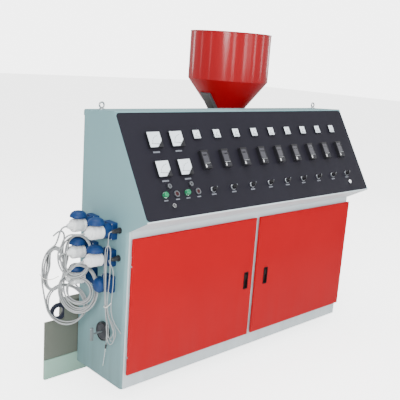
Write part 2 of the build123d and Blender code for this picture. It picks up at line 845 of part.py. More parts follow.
def write_tube(name, route, diameter):
    """Lead along straight runs joined by arcs as large as the runs allow."""
    runs = [Vector(*after) - Vector(*before) for before, after in zip(route, route[1:])]
    radii = []
    for before, after in zip(runs, runs[1:]):
        turn = radians(before.get_angle(after))
        radii.append(arc_share * min(before.length, after.length) / tan(turn / 2))
    path = FilletPolyline(*route, radius=radii)
    tube = sweep(Plane(origin=path @ 0, z_dir=path % 0) * Circle(diameter / 2), path=path)
    ratio = tube.volume / (pi * diameter**2 / 4 * path.length)
    print(name, "radii", [round(radius) for radius in radii], "length", round(path.length), round(ratio, 3))
    write(name, tube)


def write_coil(name, centre, half_width, half_height, lean, section):
    """Closed ring round a hung coil, upright apart from its lean towards the front corner."""
    heading = radians(coil_heading)
    across = Vector(cos(heading), -sin(heading), 0)
    tilt = radians(lean)
    upward = Vector(sin(heading) * sin(tilt), cos(heading) * sin(tilt), cos(tilt))
    corners = []
    for step in range(coil_corners):
        angle = 2 * pi * step / coil_corners
        corner = Vector(*centre) + across * half_width * cos(angle) + upward * half_height * sin(angle)
        corners.append(corner)
    runs = [after - before for before, after in zip(corners, corners[1:] + corners[:1])]
    radii = []
    for before, after in zip(runs[-1:] + runs, runs):
        turn = radians(before.get_angle(after))
        radii.append(arc_share * min(before.length, after.length) / tan(turn / 2))
    path = FilletPolyline(*corners, radius=radii, close=True)
    ring = sweep(Plane(origin=path @ 0, z_dir=path % 0) * Circle(section / 2), path=path)
    print(name, "once round", round(path.length), round(ring.volume / (pi * section**2 / 4 * path.length), 3))
    write(name, ring)


def write_hank():
    """Folded wire that hangs over the lid of the front middle socket, tied halfway."""
    heading = radians(coil_heading)
    facing = Plane(
        origin=hank_top, x_dir=(cos(heading), -sin(heading), 0), z_dir=(-sin(heading), -cos(heading), 0)
    )
    loop_middle = loop_radius - hank_length
    outline = make_face(
        Polyline(
            [
                (-hank_width / 2, 0),
                (hank_width / 2, 0),
                (hank_width / 2, -hank_tie),
                (hank_waist, -hank_tie - hank_waist),
                (hank_loop_shift + loop_radius, loop_middle + loop_radius),
                (hank_loop_shift + loop_radius, loop_middle),
                (hank_loop_shift - loop_radius, loop_middle),
                (0, -hank_tie - 2 * hank_waist),
                (-hank_width / 2, -hank_tie),
            ],
            close=True,
        )
    )
    outline += Pos(hank_loop_shift, loop_middle) * Circle(loop_radius)
    hank = facing * Pos(0, 0, -hank_thickness / 2) * extrude(outline, amount=hank_thickness)
    hook = facing * block(
        (-hank_waist / 2, hank_waist / 2), (-hank_thickness / 2, 0), (-hank_hook, 0)
    )
    write("sensor_hank", hank + hook)


def write_leads():
    """Power leads and sensor wires, each as its free stretches and its coils."""
    write_tube("lead_front_top", front_top_route, lead_diameter)
    write_tube("lead_back_top", back_top_route, lead_diameter)
    write_tube("lead_front_middle", front_middle_route, lead_diameter)
    write_tube("lead_back_middle", back_middle_route, lead_diameter)
    write_tube("lead_back_low", back_low_route, lead_diameter)
    write_tube("lead_end", lead_end_route, lead_diameter)
    write_coil("coil_upper", *upper_coil)
    write_coil("coil_back", *back_coil)
    write_coil("coil_hanging", *hanging_coil)
    write_coil("coil_front", *front_coil)
    write_coil("coil_small", *small_coil)
    write_tube("sensor_lead_top", wire_top_route, wire_diameter)
    write_tube("sensor_lead_middle", wire_middle_route, wire_diameter)
    write_tube("sensor_lead_drop", wire_drop_route, wire_diameter)
    write_hank()
    sleeve_start = Vector(*wire_drop_route[-1])
    direction = Vector(*probe_tip) - sleeve_start
    place = Plane(origin=sleeve_start, z_dir=direction)
    sleeve = standing(sleeve_diameter / 2, sleeve_length)
    write("sensor_probe", place * (sleeve + standing(probe_diameter / 2, direction.length)))


def lifting_eyes():
    """Eye bolts that stand on the top cover."""
    eyes = Part()
    rise = (console_top_height - back_top_height) / (cabinet_depth - console_top_set_back)
    height = back_top_height + rise * (cabinet_depth - eye_depth)
    for x in eye_columns:
        place = Pos(x, eye_depth, height) * Rot(-degrees(atan2(rise, 1)), 0, 0)
        collar = standing(eye_collar / 2, eye_collar_height)
        middle = (eye_outside + eye_bar) / 2
        ring = Pos(0, 0, middle) * Rot(90, 0, 0) * Torus((eye_outside - eye_bar) / 2, eye_bar / 2)
        eyes += place * (collar + ring)
    return eyes


os.makedirs("parts", exist_ok=True)
write_cabinet()
write_door("door_left", door_starts[0], hinge_lines[0], -1, pull_places[0])
write_door("door_right", door_starts[1], hinge_lines[1], 1, pull_places[1])
write("hinge_brackets", hinge_brackets())
write_instruments()
write_hopper()
write_machine()
write_end_wall_fittings()
write_leads()
write("lifting_eyes", lifting_eyes())
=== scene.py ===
from math import atan2, cos, hypot, pi, radians, sin, tan

import bmesh
import bpy
from mathutils import Matrix, Vector


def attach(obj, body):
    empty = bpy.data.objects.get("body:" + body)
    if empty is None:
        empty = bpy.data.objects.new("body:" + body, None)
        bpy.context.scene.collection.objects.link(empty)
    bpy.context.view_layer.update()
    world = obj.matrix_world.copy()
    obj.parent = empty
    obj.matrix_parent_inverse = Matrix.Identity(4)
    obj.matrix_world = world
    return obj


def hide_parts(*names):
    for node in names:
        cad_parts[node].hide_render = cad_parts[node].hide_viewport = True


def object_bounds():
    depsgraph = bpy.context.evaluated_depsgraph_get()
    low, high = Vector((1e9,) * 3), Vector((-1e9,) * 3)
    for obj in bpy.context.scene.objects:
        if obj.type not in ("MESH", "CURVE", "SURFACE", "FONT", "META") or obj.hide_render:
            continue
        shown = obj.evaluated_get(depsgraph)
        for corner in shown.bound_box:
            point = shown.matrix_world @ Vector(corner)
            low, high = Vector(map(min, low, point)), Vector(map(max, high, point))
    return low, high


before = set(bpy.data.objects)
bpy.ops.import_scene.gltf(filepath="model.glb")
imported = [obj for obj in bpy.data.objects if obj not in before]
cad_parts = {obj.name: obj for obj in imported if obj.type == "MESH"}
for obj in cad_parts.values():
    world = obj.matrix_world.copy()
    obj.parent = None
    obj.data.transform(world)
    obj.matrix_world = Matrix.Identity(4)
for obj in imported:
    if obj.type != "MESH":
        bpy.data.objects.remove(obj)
cad_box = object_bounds()

# Camera: left of the cabinet's front corner and a little above the console, turned so that the
# left end wall and the front both show, with the slight roll that the photograph has.
camera_place = (-1.7236, -2.6365, 1.6443)
camera_heading, camera_tilt, camera_roll = 0.7669, -0.2225, 0.0717
camera = bpy.data.objects.new("camera", bpy.data.cameras.new("camera"))
bpy.context.scene.collection.objects.link(camera)
camera.data.lens = 58.17
camera.data.shift_x = -0.0005
camera.data.shift_y = 0.005
camera.matrix_world = (
    Matrix.Translation(camera_place)
    @ Matrix.Rotation(-camera_heading, 4, "Z")
    @ Matrix.Rotation(pi / 2 + camera_tilt, 4, "X")
    @ Matrix.Rotation(camera_roll, 4, "Z")
)
bpy.context.scene.camera = camera

# Power leads: five round grey PVC-sheathed leads, one from each plug, hung up in coils on the end
# wall while the machine is not connected. Each is one smooth line, from its plug's gland through
# its turns to its bare end.
lead_thickness = 0.008
coil_heading = radians(44)
points_per_turn = 16


def linear(colour):
    """Linear colour of an sRGB hex value."""
    parts = [int(colour[place : place + 2], 16) / 255 for place in (1, 3, 5)]
    return (
        *(part / 12.92 if part <= 0.04045 else ((part + 0.055) / 1.055) ** 2.4 for part in parts),
        1,
    )


def add(tree, kind, inputs=(), **settings):
    """Add a node, with its settings, and its inputs as values or as links from other nodes."""
    made = tree.nodes.new(kind)
    for name, value in settings.items():
        setattr(made, name, value)
    for name, value in dict(inputs).items():
        if isinstance(value, bpy.types.NodeSocket):
            tree.links.new(value, made.inputs[name])
        else:
            made.inputs[name].default_value = value
    return made


def blank_finish(name):
    """New material, with its tree, its shader and the piece's own coordinates."""
    material = bpy.data.materials.new(name)
    material.use_nodes = True
    tree = material.node_tree
    place = add(tree, "ShaderNodeTexCoord").outputs["Object"]
    return material, tree, tree.nodes["Principled BSDF"], place


def mottling(tree, place, size_mm, detail):
    """Uneven pattern in patches of about this size."""
    noise = add(
        tree, "ShaderNodeTexNoise", {"Vector": place, "Scale": 1000 / size_mm, "Detail": detail}
    )
    return noise.outputs["Fac"]


def ranged(tree, value, low, high, start=0.0, end=1.0):
    """Number that goes from low to high while the value goes from start to end."""
    limits = {"From Min": start, "From Max": end, "To Min": low, "To Max": high}
    return add(tree, "ShaderNodeMapRange", {"Value": value, **limits}).outputs["Result"]


def blended(tree, share, first, second):
    """Colour that goes from the first to the second with the share."""
    mix = add(tree, "ShaderNodeMix", {0: share, 6: first, 7: second}, data_type="RGBA")
    return mix.outputs[2]


def roughen(tree, shader, height, strength, depth_mm):
    """Give a surface its fine relief."""
    relief = {"Height": height, "Strength": strength, "Distance": depth_mm / 1000}
    bump = add(tree, "ShaderNodeBump", relief)
    tree.links.new(bump.outputs["Normal"], shader.inputs["Normal"])


def moulded_plastic(name, colour, worn, gloss, grain_mm=1.2, handling_mm=45, specular=0.5):
    """Injection-moulded plastic: a fine grain from the mould, and patches dulled by handling."""
    material, tree, shader, place = blank_finish(name)
    handling = mottling(tree, place, handling_mm, 3.0)
    tint = blended(tree, handling, linear(colour), linear(worn))
    tree.links.new(tint, shader.inputs["Base Color"])
    dulled = ranged(tree, handling, gloss - 0.06, gloss + 0.1)
    tree.links.new(dulled, shader.inputs["Roughness"])
    grain = mottling(tree, place, grain_mm, 2.0)
    roughen(tree, shader, grain, strength=0.12, depth_mm=0.2)
    shader.inputs["IOR"].default_value = 1.5
    shader.inputs["Specular IOR Level"].default_value = specular
    return material


# PVC sheath: satin, a little darker where hands and floors have rubbed it, and darkened with
# painted shade in the creases where turns lie against each other.
sheath = moulded_plastic("pvc_sheath", "#A8ABAC", "#8B8F91", 0.42, grain_mm=2, handling_mm=60)
sheath_tree = sheath.node_tree
sheath_colour = sheath_tree.nodes["Principled BSDF"].inputs["Base Color"]
# Painted shade: ambient occlusion darkens the sheath's colour towards dark grey where turns lie
# close.
crease_shade_reach = 0.014
openness = add(sheath_tree, "ShaderNodeAmbientOcclusion", {"Distance": crease_shade_reach}, samples=8)
crease_shade = ranged(sheath_tree, openness.outputs["AO"], 1.0, 0.0, start=0.25, end=0.85)
unshaded_sheath = sheath_colour.links[0].from_socket
crease_shaded_sheath = blended(sheath_tree, crease_shade, unshaded_sheath, linear("#464848"))
sheath_tree.links.new(crease_shaded_sheath, sheath_colour)


def lead(name, points, thickness, finish):
    """Round lead along one smooth line, drawn by its points."""
    curve = bpy.data.curves.new(name, "CURVE")
    curve.dimensions = "3D"
    curve.bevel_depth = thickness / 2
    curve.bevel_resolution = 3
    curve.resolution_u = 5
    curve.use_fill_caps = True
    line = curve.splines.new("NURBS")
    line.points.add(len(points) - 1)
    for spot, place in zip(line.points, points):
        spot.co = (*place, 1)
    line.order_u = 3
    line.use_endpoint_u = True
    curve.materials.append(finish)
    piece = bpy.data.objects.new(name, curve)
    bpy.context.scene.collection.objects.link(piece)
    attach(piece, "cabinet")
    return piece


def coil_turns(middle, half_width, half_height, lean, first, last, lays, slant=0):
    """Points of the turns of a hung coil, from angle first to angle last in degrees.

    A lay says, in millimetres, how far one turn stands outside the coil's middle line at its
    right, top, left and bottom, and how far in front of it. One lay runs smoothly into the next.
    The slant is how far, in millimetres, the coil's top lies to the right of its bottom.
    """
    across = Vector((cos(coil_heading), -sin(coil_heading), 0))
    tilt = radians(lean)
    upward = Vector((sin(coil_heading) * sin(tilt), cos(coil_heading) * sin(tilt), cos(tilt)))
    forward = across.cross(upward)
    steps = round((last - first) / 360 * points_per_turn)
    points = []
    for step in range(steps + 1):
        degrees_round = first + (last - first) * step / steps
        turn, share = divmod((degrees_round - first) / 360, 1)
        before = lays[min(int(turn), len(lays) - 1)]
        after = lays[min(int(turn) + 1, len(lays) - 1)]
        right, top, left, bottom, front = (
            (low + (high - low) * share) / 1000 for low, high in zip(before, after)
        )
        angle = radians(degrees_round)
        out = (
            right * max(cos(angle), 0) ** 2
            + left * max(-cos(angle), 0) ** 2
            + top * max(sin(angle), 0) ** 2
            + bottom * max(-sin(angle), 0) ** 2
        )
        points.append(
            Vector(middle)
            + across * ((half_width + out) * cos(angle) + slant / 1000 * (1 + sin(angle)) / 2)
            + upward * (half_height + out) * sin(angle)
            + forward * front
        )
    return points


# The lead of the upper front plug lies in the upper coil, over the raised lid of the middle socket.
upper_coil = {
    "middle": (-0.122, -0.1625, 0.689), "half_width": 0.083, "half_height": 0.104, "lean": 24,
}
front_top_lead = lead(
    "front_top_lead",
    [
        (-0.156, -0.2785, 0.829), (-0.177, -0.2785, 0.829), (-0.196, -0.2635, 0.828),
        (-0.2, -0.2355, 0.821), (-0.194, -0.2055, 0.808), (-0.184, -0.1755, 0.793),
        (-0.176, -0.1455, 0.774), (-0.168, -0.1195, 0.755), (-0.16, -0.1015, 0.735),
    ]
    + coil_turns(
        **upper_coil, first=172, last=172 + 4 * 360 - 40,
        lays=[(2, 1, 2, 2, 6), (-22, -8, -9, -6, 1), (3, -2, -30, 3, -6), (-20, -9, -41, -12, 5),
              (-4, -4, -20, -4, -6)],
    ),
    lead_thickness,
    sheath,
)
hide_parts("lead_front_top", "coil_upper")
# The lead of the upper back plug is the longest: five turns of it hang behind, two more hang
# lower, and its end comes up and hooks over its own start.
back_top_lead = lead(
    "back_top_lead",
    [
        (-0.156, -0.1325, 0.829), (-0.173, -0.1325, 0.829), (-0.184, -0.1285, 0.817),
        (-0.187, -0.1195, 0.796), (-0.184, -0.1045, 0.769), (-0.18, -0.0855, 0.743),
        (-0.177, -0.0655, 0.722), (-0.181, -0.0485, 0.709),
    ]
    + coil_turns(
        middle=(-0.177, -0.0425, 0.603), half_width=0.054, half_height=0.105, lean=0,
        first=108, last=108 + 5 * 360 + 82,
        lays=[(4, 2, 1, 3, 7), (-4, -5, -9, 9, 1), (7, 4, -19, 14, -7), (-8, -8, -30, -3, 6),
              (2, -1, -41, 6, -4), (-4, -4, -14, 12, 8), (0, 2, 3, 4, 0)],
        slant=14,
    )
    + [(-0.213, -0.0105, 0.55), (-0.208, -0.011, 0.508), (-0.2, -0.0115, 0.465)]
    + coil_turns(
        middle=(-0.114, -0.0745, 0.416), half_width=0.097, half_height=0.102, lean=0,
        first=184, last=184 + 2 * 360 + 218,
        lays=[(0, 0, 1, 2, 4), (-14, -8, -8, 14, -3), (6, 4, 3, -5, -6)],
    )
    + [
        (-0.084, -0.1075, 0.521), (-0.103, -0.0905, 0.554), (-0.119, -0.0835, 0.59),
        (-0.131, -0.0775, 0.626), (-0.137, -0.0735, 0.66), (-0.137, -0.0705, 0.693),
        (-0.132, -0.0685, 0.725), (-0.129, -0.0685, 0.752), (-0.133, -0.0725, 0.775),
        (-0.146, -0.0775, 0.79), (-0.165, -0.0845, 0.796), (-0.186, -0.0915, 0.791),
        (-0.206, -0.0975, 0.781),
    ],
    lead_thickness,
    sheath,
)
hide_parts("lead_back_top", "coil_back", "coil_hanging", "lead_end")
# The lead of the middle front plug lies in the front coil.
front_middle_lead = lead(
    "front_middle_lead",
    [
        (-0.156, -0.2785, 0.699), (-0.175, -0.2785, 0.699), (-0.191, -0.2695, 0.685),
        (-0.198, -0.2515, 0.664), (-0.199, -0.2285, 0.646), (-0.198, -0.2055, 0.629),
        (-0.194, -0.1825, 0.611), (-0.188, -0.1605, 0.593), (-0.181, -0.1375, 0.577),
        (-0.176, -0.1175, 0.559), (-0.173, -0.1035, 0.538),
    ]
    + coil_turns(
        middle=(-0.103, -0.1655, 0.523), half_width=0.098, half_height=0.126, lean=0,
        first=192, last=192 + 4 * 360 - 80,
        lays=[(2, 0, 0, 2, 6), (-14, -8, -14, -12, -1), (3, 4, -24, -30, -7),
              (-26, -14, -8, -4, 5), (-8, -4, -20, -20, -4)],
    ),
    lead_thickness,
    sheath,
)
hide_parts("lead_front_middle", "coil_front")
# The lead of the middle back plug is short: two turns in the upper coil.
back_middle_lead = lead(
    "back_middle_lead",
    [
        (-0.156, -0.1325, 0.699), (-0.172, -0.1325, 0.699), (-0.184, -0.1235, 0.691),
        (-0.188, -0.1145, 0.677),
    ]
    + coil_turns(
        **upper_coil, first=205, last=205 + 2 * 360 - 30,
        lays=[(-29, -10, -16, -14, -7), (-6, 4, -48, 7, -10), (-12, -6, -30, 0, -8)],
    ),
    lead_thickness,
    sheath,
)
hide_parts("lead_back_middle")
# The lead of the lower back plug makes three small turns inside the front coil.
back_low_lead = lead(
    "back_low_lead",
    [
        (-0.156, -0.1325, 0.569), (-0.171, -0.1325, 0.569), (-0.183, -0.1365, 0.558),
        (-0.184, -0.1395, 0.541),
    ]
    + coil_turns(
        middle=(-0.118, -0.1895, 0.524), half_width=0.07, half_height=0.066, lean=0,
        first=190, last=190 + 3 * 360 - 70,
        lays=[(0, 0, 0, 0, 5), (-30, -10, -10, -10, -3), (5, 4, -16, 10, -7), (-14, 0, 2, 0, 4)],
    ),
    lead_thickness,
    sheath,
)
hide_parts("lead_back_low", "coil_small")

# Ties: thin white cotton tape, wound round by hand and knotted. This one holds the coil behind
# against the upper coil, and another holds the hank of sensor wire.
tape = moulded_plastic("cotton_tape", "#ECECE6", "#CFCFC6", 0.8, grain_mm=1)
coil_tape_thickness = 0.0035
lead(
    "coil_tie",
    [
        (-0.2235, -0.0105, 0.571), (-0.2225, -0.0255, 0.561), (-0.2205, -0.0505, 0.557),
        (-0.214, -0.0825, 0.562), (-0.203, -0.1085, 0.574), (-0.192, -0.1275, 0.59),
    ],
    coil_tape_thickness,
    tape,
)

# Sensor wires: thin grey two-core wires from the two round connectors. The upper one is folded
# into a hank, tied halfway, and ends in its probe: a dark sleeve and a thin steel rod.
wire_thickness = 0.004
hank_top = Vector((-0.058, -0.3265, 0.772))
hank_across = Vector((cos(coil_heading), -sin(coil_heading), 0))
hank_forward = Vector((-sin(coil_heading), -cos(coil_heading), 0))


def hank_point(across, drop, forward):
    """Point of the hank, in millimetres across it, below its top and in front of it."""
    away = hank_across * across - Vector((0, 0, drop)) + hank_forward * forward
    return hank_top + away / 1000


def hank_fold(down, up, bottom, left, right, front):
    """Points of one fold: down one side of the hank, round its lower loop and up the other."""
    return [
        hank_point(down, 60, front), hank_point(down - 1, 140, front),
        hank_point(down * 0.7, 220, front), hank_point(down * 0.3, 296, front * 0.5),
        hank_point(left * 0.4, 350, front), hank_point(left, bottom - 80, front),
        hank_point(left + 1, bottom - 36, front), hank_point(left + 8, bottom - 10, front),
        hank_point((left + right) / 2, bottom + 2, front),
        hank_point(right - 7, bottom - 11, front), hank_point(right - 1, bottom - 38, front),
        hank_point(right * 0.8, bottom - 78, front), hank_point(right * 0.35, 350, front),
        hank_point(up * 0.3, 296, front * 0.5), hank_point(up * 0.7, 220, front),
        hank_point(up + 1, 140, front), hank_point(up, 60, front),
    ]


def hank_bend(start, end, rise, front):
    """Points of the turn over the top of the hank."""
    middle = (start + end) / 2
    near_start = start * 0.75 + middle * 0.25
    near_end = end * 0.75 + middle * 0.25
    return [
        hank_point(start, 28 - rise, front), hank_point(near_start, 11 - rise, front),
        hank_point(middle, 2 - rise, front), hank_point(near_end, 11 - rise, front),
        hank_point(end, 28 - rise, front),
    ]


sensor_wire_hank = lead(
    "sensor_wire_hank",
    [
        (-0.045, -0.3335, 0.838), (-0.054, -0.3335, 0.838), (-0.06, -0.3325, 0.831),
        (-0.061, -0.3315, 0.818), (-0.06, -0.3295, 0.797),
    ]
    + hank_fold(-4, 13, 484, 10, 48, 3)
    + hank_bend(13, -12, 4, 0)
    + hank_fold(-12, 13, 470, 15, 54, -3)
    + hank_bend(13, -13, 0, -2)
    + hank_fold(-13, 12, 455, 6, 43, 0)
    + hank_bend(12, -12, 3, 4)
    + [
        hank_point(-10, 70, 5), hank_point(-6, 160, 5), hank_point(-2, 240, 4),
        hank_point(2, 300, 2),
        (-0.05, -0.3255, 0.43), (-0.044, -0.3185, 0.402), (-0.038, -0.3115, 0.366),
        (-0.032, -0.3055, 0.33), (-0.028, -0.3005, 0.294), (-0.026, -0.2965, 0.268),
    ],
    wire_thickness,
    sheath,
)
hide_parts("sensor_lead_top", "sensor_hank", "sensor_lead_drop")
# The lower sensor wire hangs singly beside the hank, and its plain end stands out below.
sensor_wire_single = lead(
    "sensor_wire_single",
    [
        (-0.045, -0.3335, 0.705), (-0.054, -0.3335, 0.705), (-0.06, -0.3385, 0.701),
        (-0.059, -0.3465, 0.692), (-0.051, -0.3535, 0.676), (-0.044, -0.3555, 0.65),
        (-0.042, -0.3555, 0.612), (-0.042, -0.3535, 0.57), (-0.044, -0.3515, 0.53),
        (-0.046, -0.3505, 0.495), (-0.045, -0.3505, 0.46), (-0.04, -0.3535, 0.43),
        (-0.032, -0.3605, 0.402), (-0.022, -0.3745, 0.376), (-0.012, -0.3915, 0.352),
    ],
    wire_thickness,
    sheath,
)
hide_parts("sensor_lead_middle")
hank_tape_thickness = 0.003
lead(
    "hank_tie",
    [
        hank_point(-6, 296, 8), hank_point(4, 299, 8), hank_point(9, 297, 2),
        hank_point(5, 294, -6), hank_point(-5, 293, -7), hank_point(-9, 294, 0),
        hank_point(-7, 297, 8), hank_point(2, 295, 12), hank_point(12, 288, 14),
        hank_point(20, 280, 12), hank_point(26, 272, 10),
    ],
    hank_tape_thickness,
    tape,
)

# Power plugs: round white plugs, moulded in one with a collar and finger grooves, and a gland that
# tapers to the lead. Five of the six sockets hold one.
plug_white = moulded_plastic("plug_nylon", "#F1F3F4", "#D6D9DA", 0.38)
# On the end wall's own axes, X runs towards the cabinet's front, Y up and Z out of the wall.
front_to_origin = 0.3935
end_face = Matrix(((0, 0, -1, 0), (-1, 0, 0, -front_to_origin), (0, 1, 0, 0), (0, 0, 0, 1)))
socket_columns = (0.115, 0.261)
socket_rows = (0.829, 0.699, 0.569)
socket_places = [
    end_face @ Matrix.Translation((-column, row, 0))
    for row in socket_rows
    for column in socket_columns
]
closed_socket = socket_places[4]
plug_places = [place for place in socket_places if place is not closed_socket]


def take_up(piece):
    """Make a piece the one that the operators act on."""
    bpy.ops.object.select_all(action="DESELECT")
    piece.select_set(True)
    bpy.context.view_layer.objects.active = piece


def settle(piece, name, places, finish, body="cabinet", smooth=35):
    """Give a modelled piece its copies in their places, its finish and the body it rides on."""
    shape = piece.data
    whole = bmesh.new()
    for place in places:
        copied = shape.copy()
        copied.transform(place)
        whole.from_mesh(copied)
        bpy.data.meshes.remove(copied)
    whole.to_mesh(shape)
    whole.free()
    piece.name = name
    shape.name = name
    shape.materials.clear()
    shape.materials.append(finish)
    take_up(piece)
    bpy.ops.object.shade_smooth_by_angle(angle=radians(smooth))
    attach(piece, body)
    return piece


def turned(profile, closed=False, steps=48):
    """Turned piece about the local Z axis, from its profile of radius and height in millimetres."""
    shape = bpy.data.meshes.new("turned")
    corners = [(radius / 1000, 0, height / 1000) for radius, height in profile]
    edges = [(corner, corner + 1) for corner in range(len(corners) - 1)]
    if closed:
        edges.append((len(corners) - 1, 0))
    shape.from_pydata(corners, edges, [])
    piece = bpy.data.objects.new("turned", shape)
    bpy.context.scene.collection.objects.link(piece)
    take_up(piece)
    bpy.ops.object.mode_set(mode="EDIT")
    bpy.ops.mesh.select_all(action="SELECT")
    bpy.ops.mesh.spin(steps=steps, angle=2 * pi, center=(0, 0, 0), axis=(0, 0, 1))
    bpy.ops.mesh.select_all(action="SELECT")
    bpy.ops.mesh.remove_doubles(threshold=0.00002)
    bpy.ops.mesh.normals_make_consistent(inside=False)
    bpy.ops.object.mode_set(mode="OBJECT")
    return piece


plug_profile = [
    (0, 32), (30.5, 32), (31, 32.5), (31, 66), (33, 66), (34, 67), (34, 76), (33.2, 77), (32, 78),
    (32, 82), (32.6, 83), (32.8, 84), (32.8, 104), (32.4, 105), (31.4, 106), (31.4, 109),
    (32.4, 110), (32.4, 113), (31.4, 114), (31.4, 117), (32.4, 118), (32, 122), (31, 126),
    (29, 129), (26, 130), (23, 130), (22.6, 131), (18.6, 138), (15, 144), (12.6, 148),
    (11.5, 150), (11.5, 152), (9.5, 153), (9.5, 154.5), (8, 155.5), (4.2, 156), (0, 156),
]
plugs = settle(turned(plug_profile), "plug_shells", plug_places, plug_white)
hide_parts("power_plugs")

# Power sockets: blue flanged sockets, three to a column, each with a domed lid. A raised lid lies
# over its plug on the hinge at the top of the shroud; the lower front socket is closed.
socket_blue = moulded_plastic("socket_polyamide", "#06346B", "#052A57", 0.48, specular=0.3)
lid_profile = [
    (0, 30), (8, 29.7), (16, 28.5), (23.6, 26.2), (30, 22.4), (35.4, 17), (39, 10.6), (40.6, 5.6),
    (41, 3), (41, 0.6), (40.4, 0), (38.6, 0), (38, 0.6), (38, 11), (0, 11),
]
lid_radius = 0.041
lid_hinge_height, lid_hinge_out = 0.039, 0.054
raised_lid = (
    Matrix.Translation((0, lid_hinge_height, lid_hinge_out + lid_radius))
    @ Matrix.Rotation(-pi / 2, 4, "X")
)
shroud_mouth, closed_lid_share = 0.066, 0.87
closed_lid = Matrix.Translation((0, 0, shroud_mouth)) @ Matrix.Scale(closed_lid_share, 4)
lid_places = [place @ raised_lid for place in plug_places] + [closed_socket @ closed_lid]
lids = settle(turned(lid_profile), "socket_lid_domes", lid_places, socket_blue)
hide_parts("socket_lids")


def dress(finish, *nodes):
    """Give CAD nodes their finish."""
    for node in nodes:
        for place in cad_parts[node].material_slots:
            place.material = finish


dress(socket_blue, "socket_bodies")

# Socket fixings: four zinc-plated screws hold each socket's flange to the wall, and a pin of the
# same steel runs through each lid's hinge.


def bright_metal(name, colour, dull, roughness):
    """Plated or polished metal: fine scratches change how sharply it mirrors."""
    scratch_mm = 6
    material, tree, shader, place = blank_finish(name)
    wear = mottling(tree, place, scratch_mm, 6.0)
    tint = blended(tree, wear, linear(colour), linear(dull))
    tree.links.new(tint, shader.inputs["Base Color"])
    spread = ranged(tree, wear, max(roughness - 0.08, 0.03), roughness + 0.15)
    tree.links.new(spread, shader.inputs["Roughness"])
    shader.inputs["Metallic"].default_value = 1.0
    return material


bright_screw = bright_metal("zinc_plated_steel", "#C9CCCE", "#9A9D9F", 0.3)
screw_profile = [
    (0, 0), (3.4, 0), (3.6, 0.3), (3.4, 1.4), (2.4, 2.2), (1.2, 2.5), (1.1, 1.6), (0, 1.6),
]
screw_across, screw_above, flange_face = 0.0305, 0.0355, 0.0295
screw_places = [
    place @ Matrix.Translation((side * screw_across, level * screw_above, flange_face))
    for place in socket_places
    for side in (-1, 1)
    for level in (-1, 1)
]
settle(turned(screw_profile, steps=12), "socket_screws", screw_places, bright_screw)
hinge_pin_profile = [(0, -15), (2.6, -15), (3, -14.6), (3, 14.6), (2.6, 15), (0, 15)]
pin_height, pin_out = 0.0395, 0.0605
lying_pin = Matrix.Translation((0, pin_height, pin_out)) @ Matrix.Rotation(pi / 2, 4, "Y")
pin_places = [place @ lying_pin for place in plug_places]
settle(turned(hinge_pin_profile, steps=12), "lid_hinge_pins", pin_places, bright_screw)

# Sensor connectors: two small round plugs of black phenolic in sockets screwed to the wall. The
# hanked wire's end has a stainless probe, held in a black sleeve.
connector_black = moulded_plastic("connector_phenolic", "#17171A", "#26262A", 0.4)
dress(connector_black, "sensor_sockets", "sensor_plugs")
probe_steel = bright_metal("stainless_probe", "#E4E6E6", "#C2C4C4", 0.25)
dress(probe_steel, "sensor_probe")
sleeve_profile = [(0, 0), (4, 0), (4.6, 0.6), (4.6, 25), (4, 26.2), (2, 26.6), (0, 26.6)]
sleeve_start = Vector((-0.026, -0.2965, 0.268))
probe_tip = Vector((-0.02, -0.2705, 0.142))
sleeve_turn = (probe_tip - sleeve_start).to_track_quat("Z", "Y").to_matrix().to_4x4()
sleeve_place = Matrix.Translation(sleeve_start) @ sleeve_turn
sleeve = turned(sleeve_profile, steps=20)
settle(sleeve, "probe_sleeve", [sleeve_place], connector_black)

# Main switch: a round black escutcheon screwed to the end wall, with a grey dished face, and a bar
# handle on the shaft that comes through it. The handle has a white mark at its tip.
switch_from_front, switch_height = 0.152, 0.309
switch_place = end_face @ Matrix.Translation((-switch_from_front, switch_height, 0))
escutcheon_profile = [
    (39, 0), (48, 0), (48, 12), (47.4, 14.5), (46, 16.6), (44, 17.8), (41.5, 18), (40, 17.4),
    (39, 16), (39, 14), (4.4, 14), (4.4, 8), (0, 8), (0, 0),
]
switch_black = moulded_plastic("switch_phenolic", "#141518", "#24262C", 0.35)
escutcheon = turned(escutcheon_profile)
settle(escutcheon, "main_switch_ring", [switch_place], switch_black)
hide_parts("main_switch_base")
switch_grey = moulded_plastic("switch_face_plate", "#2E3038", "#22242B", 0.45)
face_profile = [
    (6, 14), (38.6, 14), (38.6, 14.8), (38, 15.2), (30, 15.2), (29, 14.7), (12, 14.7), (11, 15.6),
    (6.5, 15.6), (6, 15),
]
switch_face = turned(face_profile, closed=True)
settle(switch_face, "main_switch_face", [switch_place], switch_grey)
handle_grey = moulded_plastic("handle_polyamide", "#6C7679", "#5A6366", 0.4)
dress(handle_grey, "main_switch_handle")


def round_edges(piece, chosen, radius, segments):
    """Round the edges that a test of their two ends chooses, by a radius in millimetres."""
    take_up(piece)
    bpy.ops.object.mode_set(mode="EDIT")
    bpy.ops.mesh.select_mode(type="EDGE")
    bpy.ops.mesh.select_all(action="DESELECT")
    bpy.ops.object.mode_set(mode="OBJECT")
    corners = piece.data.vertices
    for line in piece.data.edges:
        line.select = chosen(*(corners[end].co for end in line.vertices))
    bpy.ops.object.mode_set(mode="EDIT")
    bpy.ops.mesh.bevel(
        offset=radius / 1000, segments=segments, profile=0.5, affect="EDGES",
        clamp_overlap=True, loop_slide=False,
    )
    bpy.ops.object.mode_set(mode="OBJECT")


